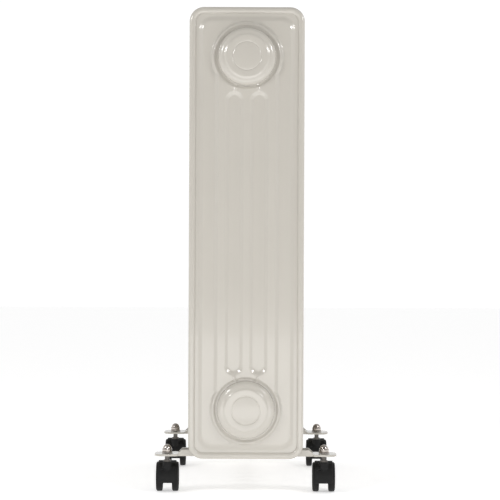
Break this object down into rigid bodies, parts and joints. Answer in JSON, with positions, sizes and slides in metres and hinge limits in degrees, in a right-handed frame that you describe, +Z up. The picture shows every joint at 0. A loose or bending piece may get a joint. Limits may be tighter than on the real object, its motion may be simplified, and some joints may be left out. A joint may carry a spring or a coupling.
{
  "type": "oil filled radiator heater",
  "caption": "Upright oil filled radiator of pressed steel fins on twin-wheel casters, with a control housing, rocker switches, thermostat dial and top handle.",
  "frame": {"origin": "on the floor, under the middle of the heater's bounding box", "axes": "+Z up, X across a fin, Y along the row of fins; the plain end fin faces -Y and the controls face +Y"},
  "size_m": [0.235, 0.4224, 0.6595],
  "materials": {
    "fin_paint": "gloss ivory enamel",
    "bracket_paint": "gloss ivory enamel on pressed steel",
    "zinc_steel": "bright zinc plate",
    "chrome": "polished",
    "caster_black": "satin black nylon",
    "wheel_black": "satin black nylon",
    "cover_ivory": "semi-gloss ivory",
    "fascia_grey": "satin dark grey",
    "handle_black": "satin black",
    "knob_ivory": "semi-gloss ivory",
    "rocker_red": "translucent red",
    "switch_black": "gloss black",
    "lamp_amber": "translucent amber",
    "element_steel": "bright tube",
    "ceramic_white": "unglazed",
    "plug_brass": "turned",
    "inner_white": "moulded"
  },
  "bodies": {
    "heater": {"fin_1": "fin_paint", "fin_2": "fin_paint", "fin_3": "fin_paint", "fin_4": "fin_paint", "fin_5": "fin_paint", "fin_6": "fin_paint", "fin_7": "fin_paint", "fin_8": "fin_paint", "fin_9": "fin_paint", "foot_bracket_front": "bracket_paint", "foot_bracket_rear": "bracket_paint", "u_bolts": "zinc_steel", "u_bolt_nuts": "zinc_steel", "acorn_nuts": "chrome", "back_plate": "zinc_steel", "control_cover": "cover_ivory", "cover_screws": "zinc_steel", "fascia": "fascia_grey", "carry_handle": "handle_black", "handle_screws": "zinc_steel", "thermostat_body": "inner_white", "switch_housing_high": "switch_black", "switch_housing_low": "switch_black", "indicator_lamp": "lamp_amber", "heating_element_high": "element_steel", "heating_element_low": "element_steel", "element_flange": "plug_brass", "element_terminals": "ceramic_white", "oil_fill_plug": "plug_brass", "thermal_cutout": "inner_white", "terminal_block": "inner_white", "tilt_switch_body": "inner_white", "cord_gland": "switch_black", "caster_front_left_stem": "zinc_steel", "caster_front_right_stem": "zinc_steel", "caster_rear_left_stem": "zinc_steel", "caster_rear_right_stem": "zinc_steel"},
    "knob": {"thermostat_knob": "knob_ivory", "thermostat_shaft": "zinc_steel"},
    "rocker_high": {"rocker_high": "rocker_red"},
    "rocker_low": {"rocker_low": "rocker_red"},
    "tilt_pendulum": {"tilt_switch_pendulum": "zinc_steel"},
    "swivel_front_left": {"caster_front_left_hood": "caster_black", "caster_front_left_axle": "zinc_steel"},
    "wheel_front_left_left": {"caster_front_left_wheel_left": "wheel_black"},
    "wheel_front_left_right": {"caster_front_left_wheel_right": "wheel_black"},
    "swivel_front_right": {"caster_front_right_hood": "caster_black", "caster_front_right_axle": "zinc_steel"},
    "wheel_front_right_left": {"caster_front_right_wheel_left": "wheel_black"},
    "wheel_front_right_right": {"caster_front_right_wheel_right": "wheel_black"},
    "swivel_rear_left": {"caster_rear_left_hood": "caster_black", "caster_rear_left_axle": "zinc_steel"},
    "wheel_rear_left_left": {"caster_rear_left_wheel_left": "wheel_black"},
    "wheel_rear_left_right": {"caster_rear_left_wheel_right": "wheel_black"},
    "swivel_rear_right": {"caster_rear_right_hood": "caster_black", "caster_rear_right_axle": "zinc_steel"},
    "wheel_rear_right_left": {"caster_rear_right_wheel_left": "wheel_black"},
    "wheel_rear_right_right": {"caster_rear_right_wheel_right": "wheel_black"}
  },
  "joints": [
    {"name": "thermostat_turn", "type": "hinge", "parent": "heater", "child": "knob", "pos_m": [0, 0.1938, 0.5215], "axis": [0, -1, 0], "range_deg": [0, 270]},
    {"name": "rocker_high_tilt", "type": "hinge", "parent": "heater", "child": "rocker_high", "pos_m": [0.022, 0.1934, 0.4155], "axis": [1, 0, 0], "range_deg": [0, 18]},
    {"name": "rocker_low_tilt", "type": "hinge", "parent": "heater", "child": "rocker_low", "pos_m": [-0.022, 0.1934, 0.4155], "axis": [1, 0, 0], "range_deg": [0, 18]},
    {"name": "tilt_swing", "type": "hinge", "parent": "heater", "child": "tilt_pendulum", "pos_m": [0, 0.1398, 0.2653], "axis": [0, 1, 0], "range_deg": [-20, 20]},
    {"name": "front_left_swivel", "type": "hinge", "parent": "heater", "child": "swivel_front_left", "pos_m": [-0.1015, -0.1732, 0.0399], "axis": [0, 0, 1], "continuous": true},
    {"name": "front_left_roll_left", "type": "hinge", "parent": "swivel_front_left", "child": "wheel_front_left_left", "pos_m": [-0.1015, -0.1602, 0.019], "axis": [1, 0, 0], "continuous": true},
    {"name": "front_left_roll_right", "type": "hinge", "parent": "swivel_front_left", "child": "wheel_front_left_right", "pos_m": [-0.1015, -0.1602, 0.019], "axis": [1, 0, 0], "continuous": true},
    {"name": "front_right_swivel", "type": "hinge", "parent": "heater", "child": "swivel_front_right", "pos_m": [0.1015, -0.1732, 0.0399], "axis": [0, 0, 1], "continuous": true},
    {"name": "front_right_roll_left", "type": "hinge", "parent": "swivel_front_right", "child": "wheel_front_right_left", "pos_m": [0.1015, -0.1602, 0.019], "axis": [1, 0, 0], "continuous": true},
    {"name": "front_right_roll_right", "type": "hinge", "parent": "swivel_front_right", "child": "wheel_front_right_right", "pos_m": [0.1015, -0.1602, 0.019], "axis": [1, 0, 0], "continuous": true},
    {"name": "rear_left_swivel", "type": "hinge", "parent": "heater", "child": "swivel_rear_left", "pos_m": [-0.1015, 0.0928, 0.0399], "axis": [0, 0, 1], "continuous": true},
    {"name": "rear_left_roll_left", "type": "hinge", "parent": "swivel_rear_left", "child": "wheel_rear_left_left", "pos_m": [-0.1015, 0.1058, 0.019], "axis": [1, 0, 0], "continuous": true},
    {"name": "rear_left_roll_right", "type": "hinge", "parent": "swivel_rear_left", "child": "wheel_rear_left_right", "pos_m": [-0.1015, 0.1058, 0.019], "axis": [1, 0, 0], "continuous": true},
    {"name": "rear_right_swivel", "type": "hinge", "parent": "heater", "child": "swivel_rear_right", "pos_m": [0.1015, 0.0928, 0.0399], "axis": [0, 0, 1], "continuous": true},
    {"name": "rear_right_roll_left", "type": "hinge", "parent": "swivel_rear_right", "child": "wheel_rear_right_left", "pos_m": [0.1015, 0.1058, 0.019], "axis": [1, 0, 0], "continuous": true},
    {"name": "rear_right_roll_right", "type": "hinge", "parent": "swivel_rear_right", "child": "wheel_rear_right_right", "pos_m": [0.1015, 0.1058, 0.019], "axis": [1, 0, 0], "continuous": true}
  ]
}
